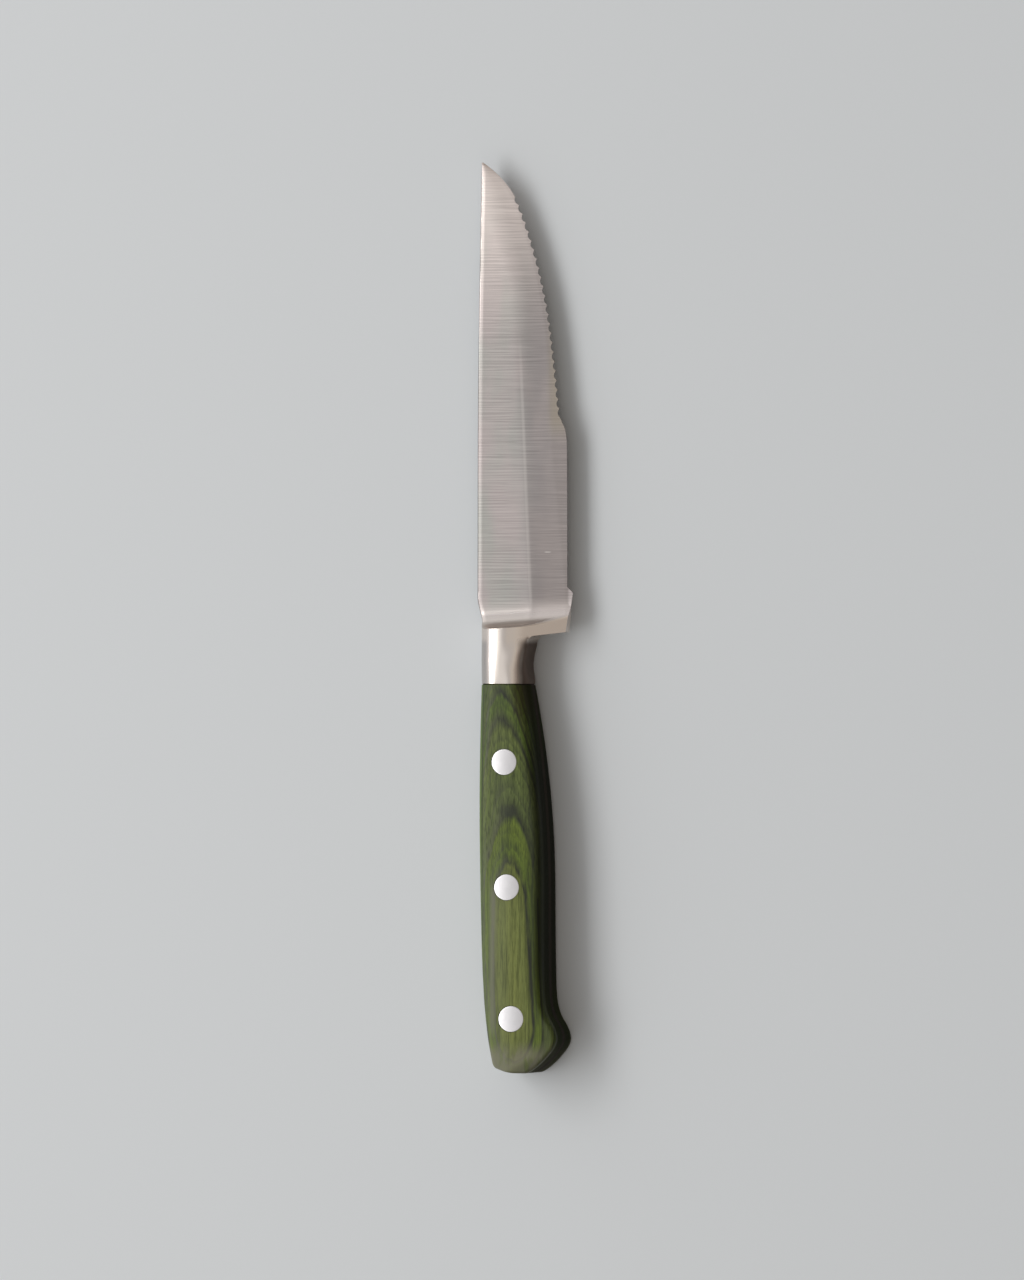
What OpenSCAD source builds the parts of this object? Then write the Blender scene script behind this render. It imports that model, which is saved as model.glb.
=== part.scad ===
// Steak knife with a serrated blade, a forged neck, a full tang and two riveted scales.
// The knife lies on the flat outer face of its lower scale. +Y points to the tip, +X to the cutting
// edge and +Z up. The origin is below the middle of the knife's length and width, on the surface
// that the knife lies on. All sizes are in millimetres.

/* [Blade] */
// Length of the blade, from the lower end of the heel to the tip
blade_length = 119.6; // [90:0.2:150]
// Width of the blade, from the spine to the cutting edge at the heel
blade_width = 23.5; // [19:0.5:27]
// Thickness of the spine at the heel
spine_thickness = 2.0; // [1.6:0.1:2.6]
// Thickness of the spine at the tip
tip_thickness = 0.9; // [0.7:0.1:1.4]
// Thickness of the cutting edge before its last honing
edge_thickness = 0.3; // [0.2:0.05:0.5]
// Width of the blunted point
tip_width = 0.3; // [0.2:0.1:0.6]
// How far the tip lies below the line of the spine
spine_drop = 1.0; // [0.4:0.1:2]
// Bevel along the two long corners of the spine
spine_ease = 0.3; // [0.1:0.05:0.4]

/* [Serration] */
// Distance from one tooth to the next
tooth_pitch = 2.4; // [2:0.1:3.4]
// Length of the flat on the point of a tooth
tooth_flat = 0.3; // [0.2:0.05:0.5]
// Depth of a scallop, seen from above
scallop_depth = 0.5; // [0.3:0.05:0.7]
// Length of a scallop's flute on the lower face of the blade
scallop_reach = 1.4; // [0.8:0.1:2]
// Distance along the edge from the tip to the first scallop
serration_start = 12; // [9:0.5:16]
// Distance along the knife from the tip to the end of the serrated stretch
serrated_reach = 66; // [54:1:76]

/* [Neck and heel] */
// Length of the neck, from the scales to the lower end of the heel
neck_length = 12.4; // [10:0.2:16]
// Width of the neck
neck_width = 12.8; // [11:0.2:14]
// Thickness of the neck where the scales begin
neck_thickness = 12.6; // [11:0.2:14]
// Radius of the long edges of the neck
neck_rounding = 4.8; // [3.6:0.2:5.2]
// How far the back of the neck lies in from the line of the spine
neck_inset = 1.6; // [1:0.1:2.6]
// How much the belly side of the neck is drawn in between the heel and the scales
neck_waist = 0.7; // [0.3:0.1:1]
// Bevel round the end of the neck, at the joint with the scales
neck_ease = 0.3; // [0.1:0.05:0.5]
// Thickness of the heel block beside the neck
heel_root_thickness = 9.4; // [7:0.2:9.8]
// Thickness of the heel block under the cutting edge
heel_edge_thickness = 2.2; // [1.6:0.1:3]
// How far the corner of the heel stands out from the cutting edge
heel_lip = 1.5; // [0.8:0.1:2.2]
// Height of the heel block along its outer side
heel_height = 11.4; // [9:0.2:14]
// How far the lower end of the heel rises towards its outer side
heel_rise = 0.9; // [0.4:0.1:1.6]
// Radius between the heel and the neck, seen from above
heel_fillet = 1.8; // [1:0.1:2.6]
// Length over which the heel runs out along the side of the neck
heel_run_out = 5; // [3:0.2:6]
// Radius of the cove between the blade and the neck
cove_radius = 5.5; // [5:0.1:6.5]
// Distance from the lower end of the heel to the far side of the cove
cove_setback = 7.4; // [6.6:0.1:9]
// How much further the cove lies at the outer side of the heel
cove_slant = 1.6; // [0:0.1:2.4]

/* [Handle] */
// Length of the scales
handle_length = 98; // [84:1:116]
// Width of the handle along its middle
handle_width = 16.8; // [15.6:0.2:19]
// Width of the handle at the hook of the butt
butt_width = 20.4; // [19:0.2:22.6]
// Distance from the end of the butt to the point of the hook
hook_height = 9.2; // [8:0.2:11]
// Thickness of the handle at the butt
butt_thickness = 15; // [13.6:0.2:17]
// How far the back of the handle lies in from the line of the spine
back_inset = 2.1; // [1.2:0.1:2.8]
// Length over which the belly side swells from the neck to the full width
flare_length = 55; // [40:1:64]
// Radius of the long edges of the handle
handle_rounding = 2.4; // [1.6:0.1:3.4]
// Length over which the radius of the neck runs out into that of the handle
rounding_length = 40; // [25:1:60]
// Radius of the edges round the end of the butt
butt_rounding = 0.8; // [0.5:0.1:1.5]
// Length over which the edges grow rounder from the end of the butt
butt_rounding_length = 24; // [16:1:36]
// Thickness of the full tang
tang_thickness = 2.4; // [1.8:0.1:3]

/* [Rivets] */
// Diameter of a rivet head
head_d = 6.6; // [5.6:0.1:7]
// Thickness of a rivet head
head_thickness = 1.6; // [1.2:0.1:2]
// Outer diameter of the hollow shank
sleeve_d = 4; // [3.6:0.1:4.6]
// Diameter of the solid shank that is driven into the hollow one
pin_d = 2.6; // [2:0.1:3]
// Distance from the front of the scales to the first rivet
front_rivet_setback = 19.5; // [17:0.5:24]
// Distance between the first and the second rivet
front_rivet_spacing = 31.6; // [24:0.2:34]
// Distance between the second and the third rivet
rear_rivet_spacing = 33.2; // [24:0.2:35]

/* [Hidden] */
$fn = 48;

// Radial play of a rivet in the holes of the scales and the tang
rivet_play = 0.04;
// Radial play of the solid shank in the hollow one
shank_play = 0.01;
// Room left beyond the end of each shank
shank_end_gap = 0.4;
// How far a cutting shape runs past what it cuts
overrun = 1;
// Depth that the outer faces of the scales are ground flat below their rounded edges
face_grind = 0.15;

// Counts of the steps that round stretches are drawn with
curve_steps = 8;
edge_steps = 6;
cove_steps = 12;
fillet_steps = 6;
tooth_steps = 5;
neck_stations = 8;

// Places of the rivets across the handle, as shares of its width in from its back
rivet_across_shares = [0.396, 0.442, 0.518];
// Control points of the edge down to the end of the serrated stretch: shares of the blade's width
// across, and of the serrated reach back from the tip
belly_shares = [[0.33, 0.067], [0.545, 0.233], [0.77, 0.515], [0.877, 0.82], [0.915, 0.985]];
// Control points of the run-out behind the serrated stretch: share of the blade's width across, and
// of its width on from the end of the stretch
run_out_shares = [[0.99, 0.065], [1, 0.38]];
// Control points of the spine: shares of the blade's length back from the tip
spine_shares = [0.38, 0.9];
// Control points of the back and the end of the butt: shares of the handle's width across and along
butt_shares = [
    [0, 2.6], [0.04, 1.27], [0.13, 0.565], [0.2, 0.24], [0.233, 0.095],
    [0.315, 0.055], [0.48, 0], [0.67, 0], [0.79, 0], [1.03, 0.195],
];
// Control points of the hook: share of the butt's width across, and of the hook's height along
hook_shares = [[1.015, 0.82], [0.99, 1.2]];
// Control points of the hollow above the hook: shares of the handle's width across and along
hollow_shares = [[1.045, 0.905], [1, 1.31]];
// Place where the back begins to turn in towards the butt, as a share of the handle's length
bow_share = 0.73;
// Place of the line where the bevel of the blade begins, as a share of the blade's width
grind_share = 0.57;
// Centre that the rounded edge of the butt is drawn towards: shares of the handle's width
butt_centre_shares = [0.55, 0.57];
// How far the heel's run-out leads into the neck, as a share of its length
run_in_share = 0.25;
// Height of the cove's floor at the spine and at the outer side of the heel, as shares of the
// spine's half thickness
cove_floor_shares = [0.85, 0.33];

// Places along the knife, measured from the end of the butt
heel_y = handle_length + neck_length;
tip_y = heel_y + blade_length;
serration_end_y = tip_y - serrated_reach;
heel_top_y = heel_y + heel_rise + heel_height;
cove_y = heel_y + cove_setback;
blade_root_y = heel_y + heel_rise + spine_thickness;
rivet_ys = [
    handle_length - front_rivet_setback,
    handle_length - front_rivet_setback - front_rivet_spacing,
    handle_length - front_rivet_setback - front_rivet_spacing - rear_rivet_spacing,
];

// Places across the knife, measured from the line of the spine
neck_side_x = neck_inset + neck_width;
neck_middle_x = neck_inset + neck_width / 2;
heel_x = blade_width + heel_lip;
butt_centre = [back_inset, 0] + butt_centre_shares * handle_width;

// Slope of each outer face of the handle against the plane of the blade
face_slope = (butt_thickness - neck_thickness) / 2 / handle_length;
face_angle = atan(face_slope);

// A smooth curve that touches the middle of each leg of a control polygon
function smooth(controls, steps = curve_steps) =
    let (last = len(controls) - 1)
    concat(
        [
            for (i = [1:last - 1])
                let (start = i == 1 ? controls[0] : (controls[i - 1] + controls[i]) / 2)
                let (end = i == last - 1 ? controls[last] : (controls[i] + controls[i + 1]) / 2)
                for (k = [0:steps - 1])
                    let (t = k / steps)
                    (1 - t) * (1 - t) * start + 2 * t * (1 - t) * controls[i] + t * t * end
        ],
        [controls[last]]
    );

// The place at a distance along a curve, as [point, direction]
function along(curve, distance, i = 0) =
    let (leg = curve[i + 1] - curve[i])
    distance <= norm(leg) || i == len(curve) - 2
        ? [curve[i] + leg / norm(leg) * distance, leg / norm(leg)]
        : along(curve, distance - norm(leg), i + 1);

// The place across the knife where a curve passes a place along it
function across(curve, y) = lookup(y, [for (p = curve) [p.y, p.x]]);

// A value that eases from one figure to another over a length, and then stays
function ease(from, to, distance, length) =
    let (rest = 1 - min(1, max(0, distance / length)))
    to + (from - to) * rest * rest;

// Cutting edge from the tip to the heel
edge_curve = smooth(concat(
    [[spine_drop + tip_width, tip_y]],
    [for (s = belly_shares) [s.x * blade_width, tip_y - s.y * serrated_reach]],
    [for (s = run_out_shares) [s.x * blade_width, serration_end_y - s.y * blade_width]],
    [[blade_width, blade_root_y]]
));

// Spine from the tip to the neck
spine_curve = smooth([
    [spine_drop, tip_y],
    [0, tip_y - spine_shares[0] * blade_length],
    [0, tip_y - spine_shares[1] * blade_length],
    [0, cove_y],
    [neck_inset + spine_ease, blade_root_y],
]);

// Outline of the tang and the scales, from the front of the back round the butt to the belly side
handle_curve = smooth(concat(
    [
        [neck_inset, handle_length],
        [neck_inset, bow_share * handle_length],
    ],
    [for (s = butt_shares) [back_inset, 0] + s * handle_width],
    [for (s = hook_shares) [back_inset + s.x * butt_width, s.y * hook_height]],
    [for (s = hollow_shares) [back_inset, 0] + s * handle_width],
    [
        [back_inset + handle_width, handle_length - flare_length / 2],
        [neck_side_x, handle_length],
    ]
));

// Half the thickness of the handle and the neck at a place along the knife
function face_z(y) = neck_thickness / 2 + face_slope * (handle_length - y);

// Radius of the outer edges at a place along the handle
function rounding(y) =
    let (rest = 1 - min(1, max(0, y / butt_rounding_length)))
    ease(neck_rounding, handle_rounding, handle_length - y, rounding_length)
        - (handle_rounding - butt_rounding) * rest * rest * (3 - 2 * rest);

// Half the thickness of the blade at the spine
function blade_z(y) =
    (tip_thickness + (spine_thickness - tip_thickness) * (tip_y - y) / blade_length) / 2;

// Half the thickness of the heel block, which thins towards the cutting edge
function heel_z(x) =
    (heel_root_thickness
        + (heel_edge_thickness - heel_root_thickness) * (x - neck_side_x) / (heel_x - neck_side_x)) / 2;

// A point of the handle's outline drawn inwards by a distance
function drawn_in(p, distance) =
    let (centre = [butt_centre.x, max(p.y, butt_centre.y)])
    p + (centre - p) / norm(centre - p) * distance;

// One ring of a scale: the outline at an angle round its edge rounding, 0 at the side, 90 on top
function scale_ring(angle) = [
    for (p = handle_curve)
        let (r = rounding(p.y))
        let (q = drawn_in(p, r * (1 - cos(angle))))
        [q.x, q.y, face_z(q.y) + face_grind - r * (1 - sin(angle))]
];

// One ring of the neck, drawn in by a bevel at its end
function neck_ring(y, bevel) =
    let (waist = sin(180 * min(1, max(0, (y - handle_length) / neck_length))) * neck_waist)
    let (low_x = neck_inset + bevel)
    let (high_x = neck_side_x - waist - bevel)
    let (r = neck_rounding)
    let (z = face_z(y) - bevel - r)
    [
        for (quarter = [
            [low_x + r, -z, 180],
            [high_x - r, -z, 270],
            [high_x - r, z, 0],
            [low_x + r, z, 90],
        ])
            for (k = [0:edge_steps])
                let (angle = quarter[2] + 90 * k / edge_steps)
                [quarter[0] + r * cos(angle), y, quarter[1] + r * sin(angle)]
    ];

// One ring of the blade through a point of its edge: spine with eased corners, flat faces, then the
// bevel down to the edge, which a scallop cuts back along the outward direction, further from below
function blade_ring(edge, outward = [1, 0], cut_share = 0) =
    let (y = edge.y)
    let (low_x = across(spine_curve, y))
    let (width = edge.x - low_x)
    let (z = blade_z(y))
    let (edge_z = edge_thickness / 2)
    let (bevel_x = low_x + grind_share * width)
    let (ease_x = min(spine_ease, grind_share * width / 2))
    let (upper = edge - cut_share * scallop_depth * outward)
    let (lower = edge - cut_share * scallop_reach * outward)
    let (lower_z = edge_z + (z - edge_z) * cut_share * scallop_reach / (edge.x - bevel_x))
    [
        [low_x, y, ease_x - z],
        [low_x + ease_x, y, -z],
        [bevel_x, y, -z],
        [lower.x, lower.y, -lower_z],
        [upper.x, upper.y, edge_z],
        [bevel_x, y, z],
        [low_x + ease_x, y, z],
        [low_x, y, z - ease_x],
    ];

// A solid through a stack of rings that all have the same number of points
module loft(rings) {
    count = len(rings[0]);
    last = len(rings) - 1;
    sides = [
        for (i = [0:last - 1])
            for (j = [0:count - 1])
                let (a = i * count + j)
                let (b = i * count + (j + 1) % count)
                each [[a, b + count, b], [a, a + count, b + count]]
    ];
    first_cap = [for (j = [0:count - 1]) j];
    last_cap = [for (j = [count - 1:-1:0]) last * count + j];
    polyhedron(points = [for (ring = rings) each ring], faces = concat(sides, [first_cap, last_cap]));
}

// Lays the knife down on the outer face of its lower scale, over the origin
module laid_down() {
    middle_x = max(heel_x, max([for (p = handle_curve) p.x])) / 2;
    translate([-middle_x, -tip_y * cos(face_angle) / 2, face_z(0) * cos(face_angle)])
        rotate([-face_angle, 0, 0])
            children();
}

// The space from a height up to the outer face of the upper scale
module under_face(low_z) {
    low_y = -overrun;
    high_y = handle_length + overrun;
    rotate([90, 0, 90])
        linear_extrude(back_inset + hook_shares[0].x * butt_width + overrun)
            polygon([
                [low_y, low_z],
                [high_y, low_z],
                [high_y, face_z(high_y)],
                [low_y, face_z(low_y)],
            ]);
}

// Puts its children at the place of a rivet, in the plane of the blade
module at_rivet(i) {
    translate([back_inset + rivet_across_shares[i] * handle_width, rivet_ys[i], 0])
        children();
}

// Rings of one tooth: its flat, then a hollow that is deepest at its middle
function tooth_rings(i) = [
    for (k = [0:tooth_steps])
        let (flat_share = tooth_flat / tooth_pitch)
        let (hollow = max(0, k - 1) / tooth_steps)
        let (tooth_share = k == 0 ? 0 : flat_share + (1 - flat_share) * hollow)
        let (place = along(edge_curve, serration_start + (i + tooth_share) * tooth_pitch))
        let (outward = [-place[1].y, place[1].x])
        blade_ring(place[0], outward, 4 * hollow * (1 - hollow))
];

// Blade with its serrated edge, from the tip to inside the neck
module blade_body() {
    teeth = [
        for (i = [0:floor(blade_length / tooth_pitch)])
            if (along(edge_curve, serration_start + (i + 1) * tooth_pitch)[0].y > serration_end_y) i
    ];
    first_y = along(edge_curve, serration_start)[0].y;
    last_y = along(edge_curve, serration_start + len(teeth) * tooth_pitch)[0].y;
    loft(concat(
        [for (p = edge_curve) if (p.y > first_y) blade_ring(p)],
        [for (i = teeth) each tooth_rings(i)],
        [for (p = edge_curve) if (p.y < last_y) blade_ring(p)]
    ));
}

module neck_body() {
    high_y = cove_y + overrun;
    ease_y = handle_length + neck_ease;
    loft(concat(
        [for (k = [neck_stations:-1:0]) neck_ring(ease_y + (high_y - ease_y) * k / neck_stations, 0)],
        [neck_ring(handle_length, neck_ease)]
    ));
}

// The thick heel beside the neck, which carries the corner under the cutting edge
module heel_block() {
    inner_x = neck_middle_x;
    fillet_centre = [neck_side_x + heel_fillet, heel_y - heel_fillet];
    run_out_y = fillet_centre.y - heel_run_out;
    cap_z = face_z(heel_top_y);
    intersection() {
        translate([0, 0, -cap_z])
            linear_extrude(2 * cap_z)
                polygon(concat(
                    [
                        [inner_x, heel_top_y],
                        [inner_x, run_out_y],
                        [neck_side_x - run_in_share * heel_run_out, run_out_y],
                    ],
                    [
                        for (k = [0:fillet_steps])
                            let (angle = 180 - 90 * k / fillet_steps)
                            fillet_centre + heel_fillet * [cos(angle), sin(angle)]
                    ],
                    [
                        [blade_width, heel_y + heel_rise],
                        [heel_x, heel_top_y - heel_lip],
                        [blade_width, heel_top_y],
                    ]
                ));
        translate([0, heel_top_y + overrun, 0])
            rotate([90, 0, 0])
                linear_extrude(heel_height + heel_rise + heel_fillet + neck_length)
                    polygon([
                        [inner_x - overrun, -heel_z(inner_x - overrun)],
                        [heel_x + overrun, -heel_z(heel_x + overrun)],
                        [heel_x + overrun, heel_z(heel_x + overrun)],
                        [inner_x - overrun, heel_z(inner_x - overrun)],
                    ]);
    }
}

// Cutter for the cove that sweeps from the face of the blade up to the neck
module cove_cutter() {
    floor_zs = cove_floor_shares * spine_thickness / 2;
    roll = atan((floor_zs[0] - floor_zs[1]) / heel_x);
    yaw = atan(cove_slant / heel_x);
    translate([0, cove_y, floor_zs[0]])
        rotate([0, roll, yaw])
            translate([-overrun, 0, 0])
                rotate([90, 0, 90])
                    linear_extrude(heel_x + 3 * overrun)
                        polygon(concat(
                            [
                                for (k = [0:cove_steps])
                                    let (angle = 90 - 90 * k / cove_steps)
                                    cove_radius * [-sin(angle), 1 - cos(angle)]
                            ],
                            [
                                [blade_width, 0],
                                [blade_width, neck_thickness],
                                [-cove_radius, neck_thickness],
                            ]
                        ));
}

module tang() {
    root_x = neck_middle_x - neck_width / 4;
    root_width = neck_width / 2;
    translate([0, 0, -tang_thickness / 2])
        linear_extrude(tang_thickness) {
            polygon(handle_curve);
            translate([root_x, handle_length - neck_length / 2])
                square([root_width, neck_length]);
        }
}

// Blade, neck and full tang, forged from one piece of steel
module blade() {
    color([0.66, 0.64, 0.62])
        laid_down()
            difference() {
                union() {
                    blade_body();
                    difference() {
                        union() {
                            neck_body();
                            heel_block();
                        }
                        cove_cutter();
                        mirror([0, 0, 1]) cove_cutter();
                    }
                    tang();
                }
                for (i = [0:len(rivet_ys) - 1])
                    at_rivet(i)
                        cylinder(d = sleeve_d + 2 * rivet_play, h = 2 * tang_thickness, center = true);
            }
}

// Hole for a rivet through one scale, with the seat of its head
module stepped_hole(i) {
    shank_r = sleeve_d / 2 + rivet_play;
    head_r = head_d / 2 + rivet_play;
    seat_z = face_z(rivet_ys[i]) - head_thickness;
    at_rivet(i)
        rotate_extrude()
            polygon([
                [0, 0],
                [shank_r, 0],
                [shank_r, seat_z],
                [head_r, seat_z],
                [head_r, seat_z + 2 * head_thickness],
                [0, seat_z + 2 * head_thickness],
            ]);
}

// One scale above the tang, with rounded outer edges and the holes of its rivets
module scale_body() {
    foot = [for (p = scale_ring(0)) [p.x, p.y, 0]];
    difference() {
        intersection() {
            loft(concat([foot], [for (k = [0:edge_steps]) scale_ring(90 * k / edge_steps)]));
            under_face(tang_thickness / 2);
        }
        for (i = [0:len(rivet_ys) - 1]) stepped_hole(i);
    }
}

module upper_scale() {
    color([0.27, 0.34, 0.17])
        laid_down()
            scale_body();
}

module lower_scale() {
    color([0.27, 0.34, 0.17])
        laid_down()
            mirror([0, 0, 1])
                scale_body();
}

// Hollow half of a rivet, set from above, its head ground flush with the upper scale
module rivet_sleeve(i) {
    seat_z = face_z(rivet_ys[i]) - head_thickness;
    color([0.85, 0.85, 0.84])
        laid_down()
            difference() {
                intersection() {
                    under_face(-butt_thickness / 2);
                    at_rivet(i) {
                        translate([0, 0, seat_z]) cylinder(d = head_d, h = head_thickness + overrun);
                        translate([0, 0, shank_end_gap - seat_z])
                            cylinder(d = sleeve_d, h = 2 * seat_z - shank_end_gap + head_thickness / 2);
                    }
                }
                at_rivet(i)
                    translate([0, 0, -seat_z])
                        cylinder(d = pin_d + 2 * shank_play, h = 2 * seat_z);
            }
}

// Solid half of a rivet, driven into the hollow half from below, its head ground flush
module rivet_pin(i) {
    seat_z = face_z(rivet_ys[i]) - head_thickness;
    color([0.85, 0.85, 0.84])
        laid_down()
            mirror([0, 0, 1])
                intersection() {
                    under_face(-butt_thickness / 2);
                    at_rivet(i) {
                        translate([0, 0, seat_z]) cylinder(d = head_d, h = head_thickness + overrun);
                        translate([0, 0, shank_end_gap - seat_z])
                            cylinder(d = pin_d, h = 2 * seat_z - shank_end_gap + head_thickness / 2);
                    }
                }
}

module front_rivet_sleeve() { rivet_sleeve(0); }
module front_rivet_pin() { rivet_pin(0); }
module middle_rivet_sleeve() { rivet_sleeve(1); }
module middle_rivet_pin() { rivet_pin(1); }
module rear_rivet_sleeve() { rivet_sleeve(2); }
module rear_rivet_pin() { rivet_pin(2); }

blade();
upper_scale();
lower_scale();
front_rivet_sleeve();
front_rivet_pin();
middle_rivet_sleeve();
middle_rivet_pin();
rear_rivet_sleeve();
rear_rivet_pin();
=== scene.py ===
"""Looks of the steak knife: finer meshes of its blade, scales and rivets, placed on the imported
frame, with their materials, the floor, the light and the camera."""

import math

import bmesh
import bpy
import numpy as np
from mathutils import Matrix, Vector


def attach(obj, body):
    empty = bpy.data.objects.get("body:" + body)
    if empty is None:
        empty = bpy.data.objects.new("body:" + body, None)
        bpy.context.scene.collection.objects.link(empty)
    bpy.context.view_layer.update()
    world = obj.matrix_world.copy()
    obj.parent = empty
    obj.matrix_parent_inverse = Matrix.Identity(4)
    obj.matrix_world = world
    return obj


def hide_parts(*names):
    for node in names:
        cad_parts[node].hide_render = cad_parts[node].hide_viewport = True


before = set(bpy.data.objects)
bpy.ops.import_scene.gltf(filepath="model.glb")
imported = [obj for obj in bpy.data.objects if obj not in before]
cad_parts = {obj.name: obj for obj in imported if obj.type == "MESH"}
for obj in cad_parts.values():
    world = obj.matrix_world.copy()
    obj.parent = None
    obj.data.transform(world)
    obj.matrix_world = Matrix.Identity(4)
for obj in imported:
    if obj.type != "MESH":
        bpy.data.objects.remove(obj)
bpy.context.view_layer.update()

# All sizes are in millimetres: x from the line of the spine, y from the end of the butt and z from
# the middle plane of the blade
MM = 0.001
TIP_Y = 230.0
HANDLE_LENGTH = 98.0
SERRATED_REACH = 66.0
BLADE_LENGTH = 119.6
BLADE_WIDTH = 23.5
SPINE_DROP = 1.0
SPINE_EASE = 0.3
SPINE_WEAR = 0.075
SPINE_WEAR_WIDTH = 1.1
SPINE_HALF = 1.0
TIP_HALF = 0.45
EDGE_HALF = 0.15
TIP_WIDTH = 0.3
GRIND_YS = (118.0, 180.0, 198.0)
GRIND_XS = (14.2, 11.4, 11.0)
GRIND_SHARE = 0.6
GRIND_TIP_SHARES = (0.64, 0.25)
HONED_YS = (118, 124, 158.6, 166, 180, 230)
HONED_WIDTHS = (0.3, 0.66, 4.0, 2.6, 1.6, 0.6)
HONED_SHARE = 0.3
RIDGE_YS = (150, 195)
RIDGE_WIDTHS = (0.03, 0.14)
TOOTH_PITCH = 2.4
TOOTH_FLAT = 0.3
SCALLOP_DEPTH = 0.5
SCALLOP_REACH = 1.4
SERRATION_START = 12.0
NECK_INSET = 1.6
NECK_WIDTH = 12.8
NECK_THICKNESS = 12.6
NECK_ROUNDING = 4.8
NECK_ROUNDNESS = (2.4, 3.3)
NECK_WAIST = 0.7
NECK_EASE = 0.3
HEEL_Y = 110.4
HEEL_RISE = 0.9
HEEL_HEIGHT = 11.4
HEEL_LIP = 1.5
HEEL_FILLET = 1.8
HEEL_RUN_OUT = 5.0
HEEL_BLEND = 1.2
HEEL_ROOT_HALF = 4.7
HEEL_EDGE_HALF = 1.1
COVE_Y = 117.8
COVE_RADIUS = 6.0
COVE_SLANT = 1.6
COVE_SINK = 0.12
COVE_FLOORS = (0.85, 0.33)
COVE_STEEPNESS = 20
BUTT_THICKNESS = 15.0
BACK_INSET = 2.1
HANDLE_WIDTH = 16.8
BUTT_WIDTH = 20.4
HOOK_HEIGHT = 9.2
FLARE_LENGTH = 55.0
HANDLE_ROUNDING = 2.4
ROUNDING_LENGTH = 40.0
BUTT_ROUNDING = 0.8
BUTT_ROUNDING_LENGTH = 24.0
TANG_HALF = 1.2
HEAD_RADIUS = 3.3
HEAD_THICKNESS = 1.6
HEAD_PLAY = 0.06
SLEEVE_RADIUS = 2.0
PIN_RADIUS = 1.3
SHANK_PLAY = 0.02
SHANK_END_GAP = 0.4
RIVET_YS = {"front": 78.5, "middle": 46.9, "rear": 13.7}
RIVET_ACROSS = {"front": 0.396, "middle": 0.442, "rear": 0.518}

# The part's corners and slopes that follow from these sizes
NECK_SIDE_X = NECK_INSET + NECK_WIDTH
NECK_MIDDLE_X = NECK_INSET + NECK_WIDTH / 2
HEEL_X = BLADE_WIDTH + HEEL_LIP
HEEL_TOP_Y = HEEL_Y + HEEL_RISE + HEEL_HEIGHT
BLADE_ROOT_Y = HEEL_Y + HEEL_RISE + 2 * SPINE_HALF
SERRATION_END_Y = TIP_Y - SERRATED_REACH
FACE_SLOPE = (BUTT_THICKNESS - NECK_THICKNESS) / 2 / HANDLE_LENGTH
FACE_ANGLE = math.atan(FACE_SLOPE)

# The rows that come in to the neck, to the heel's fillet, to its lower side and to its outer side:
# where the last of each starts by the spine, and over what length it comes in straight
NECK_START, FILLET_START, LOWER_START, OUTER_START = 106.5, 108.6, 114.6, 121.2
NECK_REACH, FILLET_REACH, LOWER_REACH, OUTER_REACH = 4, 2, 3, 8

# Fineness of the meshes
ROW_COLUMNS = 57
EASE_ROWS = 3
NECK_ROWS = 34
FILLET_ROWS = 14
HEEL_ROWS = 44
LIP_ROWS = 8
PLAIN_ROWS = 60
TIP_ROWS = 28
SHARP_DEGREES = 30
WALL_STEPS = 4
CURVE_STEPS = 20
ROUNDING_STEPS = 16
TOOTH_STEPS = 9
LATHE_STEPS = 96


def smooth(controls):
    """A curve that touches the middle of each leg of a control polygon."""
    controls = np.array(controls, float)
    last = len(controls) - 1
    points = []
    for i in range(1, last):
        start = controls[0] if i == 1 else (controls[i - 1] + controls[i]) / 2
        end = controls[last] if i == last - 1 else (controls[i] + controls[i + 1]) / 2
        for t in np.arange(CURVE_STEPS) / CURVE_STEPS:
            points.append((1 - t) ** 2 * start + 2 * t * (1 - t) * controls[i] + t * t * end)
    points.append(controls[last])
    return np.array(points)


def across(curve, y):
    """The place across the knife where a curve passes a place along it."""
    order = np.argsort(curve[:, 1])
    return np.interp(y, curve[order, 1], curve[order, 0])


def units(ways):
    """Directions, each as a way of length 1."""
    return ways / np.linalg.norm(ways, axis=-1, keepdims=True)


def along(curve, distances):
    """Points of a curve at distances along it, and the directions there."""
    gaps = np.linalg.norm(np.diff(curve, axis=0), axis=1)
    places = np.concatenate([[0], np.cumsum(gaps)])

    def at(d):
        return np.stack([np.interp(d, places, curve[:, k]) for k in (0, 1)], axis=-1)

    probe = 0.1
    return at(distances), units(at(distances + probe) - at(distances - probe))


def soft_max(a, b, width):
    """The higher of two heights, with the crease between them filled."""
    overlap = np.clip(width - np.abs(a - b), 0, None) / width
    return np.maximum(a, b) + overlap**2 * width / 4


def soft_min(a, b, width):
    """The lower of two heights, with the ridge between them rounded."""
    return -soft_max(-a, -b, width)


def smoothstep(share):
    """A share from 0 to 1 that starts and ends gently."""
    return share**2 * (3 - 2 * share)


def spots(start, reach, *shares):
    """Control points at shares of a reach from a start, across and along the knife."""
    return [[start[0] + x * reach[0], start[1] + y * reach[1]] for x, y in shares]


EDGE_CURVE = smooth(
    [[SPINE_DROP + TIP_WIDTH, TIP_Y]]
    + spots(
        (0, TIP_Y),
        (BLADE_WIDTH, -SERRATED_REACH),
        *((0.33, 0.067), (0.545, 0.233), (0.77, 0.515), (0.877, 0.82), (0.915, 0.985)),
    )
    + spots((0, SERRATION_END_Y), (BLADE_WIDTH, -BLADE_WIDTH), (0.99, 0.065), (1, 0.38))
    + [[BLADE_WIDTH, BLADE_ROOT_Y]]
)

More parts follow.
